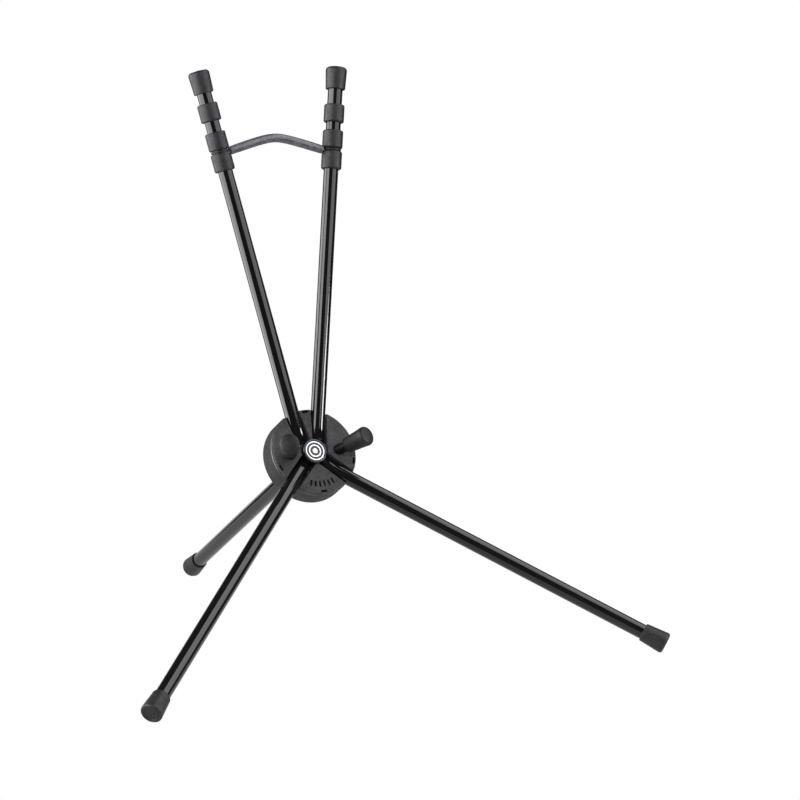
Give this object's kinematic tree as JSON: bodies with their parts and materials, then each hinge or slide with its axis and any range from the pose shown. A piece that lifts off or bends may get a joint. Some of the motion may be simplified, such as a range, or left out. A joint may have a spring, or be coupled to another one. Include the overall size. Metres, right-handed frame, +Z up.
{
  "type": "saxophone stand",
  "caption": "Folding in-bell saxophone stand: tilted round hub with two front legs, a rear leg, two upright arms joined by a flexible strap, and rubber pegs.",
  "frame": {"origin": "on the floor under the middle of the opened stand's outline", "axes": "+X to the right seen from the front, +Y back along the rear leg, +Z up"},
  "size_m": [0.4552, 0.4414, 0.4567],
  "materials": {
    "gloss_black_tube": "gloss black lacquer on steel tube",
    "grained_plastic": "fine-grained black moulded plastic",
    "cover_plastic": "spark-eroded grain, black",
    "cap_rubber": "matte black rubber",
    "peg_rubber": "matte black rubber, turned grooves",
    "strap_rubber": "dark grey flexible cord with a slight shine",
    "bright_badge": "bright disc with plain rings",
    "zinc_steel": "zinc-plated steel"
  },
  "bodies": {
    "stand_body": {"hub_housing": "grained_plastic", "front_cover": "cover_plastic", "centre_badge": "bright_badge", "centre_screw": "zinc_steel", "pressure_disc": "zinc_steel", "pressure_spring": "zinc_steel", "left_peg_stem": "grained_plastic", "left_peg_sleeve": "peg_rubber", "right_peg_stem": "grained_plastic", "right_peg_sleeve": "peg_rubber", "rear_leg_tube": "gloss_black_tube", "rear_leg_plug": "grained_plastic", "rear_foot_cap": "cap_rubber", "left_leg_hinge_pin": "zinc_steel", "right_leg_hinge_pin": "zinc_steel", "left_arm_hinge_pin": "zinc_steel", "right_arm_hinge_pin": "zinc_steel"},
    "left_leg": {"left_leg_tube": "gloss_black_tube", "left_leg_plug": "grained_plastic", "left_foot_cap": "cap_rubber"},
    "right_leg": {"right_leg_tube": "gloss_black_tube", "right_leg_plug": "grained_plastic", "right_foot_cap": "cap_rubber"},
    "left_arm": {"left_arm_tube": "gloss_black_tube", "left_arm_plug": "grained_plastic", "left_strap_ring_lower": "cap_rubber", "left_strap_ring_upper": "cap_rubber", "left_rest_ring": "cap_rubber", "left_arm_cap": "cap_rubber", "strap": "strap_rubber"},
    "right_arm": {"right_arm_tube": "gloss_black_tube", "right_arm_plug": "grained_plastic", "right_strap_ring_lower": "cap_rubber", "right_strap_ring_upper": "cap_rubber", "right_rest_ring": "cap_rubber", "right_arm_cap": "cap_rubber"}
  },
  "joints": [
    {"name": "left_leg_fold", "type": "hinge", "parent": "stand_body", "child": "left_leg", "pos_m": [-0.00958, -0.0317, 0.14018], "axis": [0.6984, -0.36, -0.6186], "range_deg": [0, 104]},
    {"name": "right_leg_fold", "type": "hinge", "parent": "stand_body", "child": "right_leg", "pos_m": [0.00958, -0.0317, 0.14018], "axis": [0.6984, 0.36, 0.6186], "range_deg": [0, 104]},
    {"name": "left_arm_fold", "type": "hinge", "parent": "stand_body", "child": "left_arm", "pos_m": [-0.00828, -0.02188, 0.16247], "axis": [-0.9829, -0.0925, -0.159], "range_deg": [0, 104], "deforming": ["strap"]},
    {"name": "right_arm_fold", "type": "hinge", "parent": "stand_body", "child": "right_arm", "pos_m": [0.00828, -0.02188, 0.16247], "axis": [-0.9829, 0.0925, 0.159], "range_deg": [0, 104]}
  ],
  "couplings": [
    {"joint": "right_arm_fold", "follows": "left_arm_fold", "ratio": 1}
  ]
}
